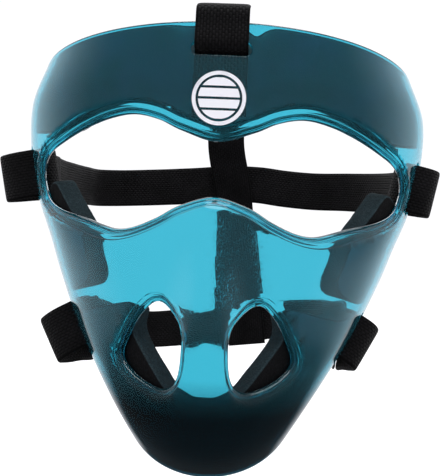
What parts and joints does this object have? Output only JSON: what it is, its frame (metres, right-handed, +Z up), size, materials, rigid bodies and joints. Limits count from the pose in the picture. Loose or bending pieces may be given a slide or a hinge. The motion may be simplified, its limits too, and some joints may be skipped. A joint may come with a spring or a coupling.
{
  "type": "field hockey face mask",
  "caption": "Clear teal moulded face mask with an eye opening, vents, black foam pads and elastic straps round the head.",
  "frame": {"origin": "middle of the forehead pad's inner face, where the wearer's forehead rests", "axes": "+Z up; the mask faces -Y and the head lies towards +Y; +X is the wearer's left"},
  "size_m": [0.226, 0.2449, 0.2321],
  "materials": {
    "clear_shell": "clear teal, polished",
    "black_foam": "closed-cell foam, matt",
    "black_elastic": "ribbed woven elastic",
    "white_print": "printed ink under clear lacquer"
  },
  "bodies": {
    "root": {"shell": "clear_shell", "forehead_pad": "black_foam", "cheek_pad_left": "black_foam", "cheek_pad_right": "black_foam", "chin_pad": "black_foam", "top_strap": "black_elastic", "upper_strap": "black_elastic", "lower_strap": "black_elastic"}
  },
  "joints": []
}
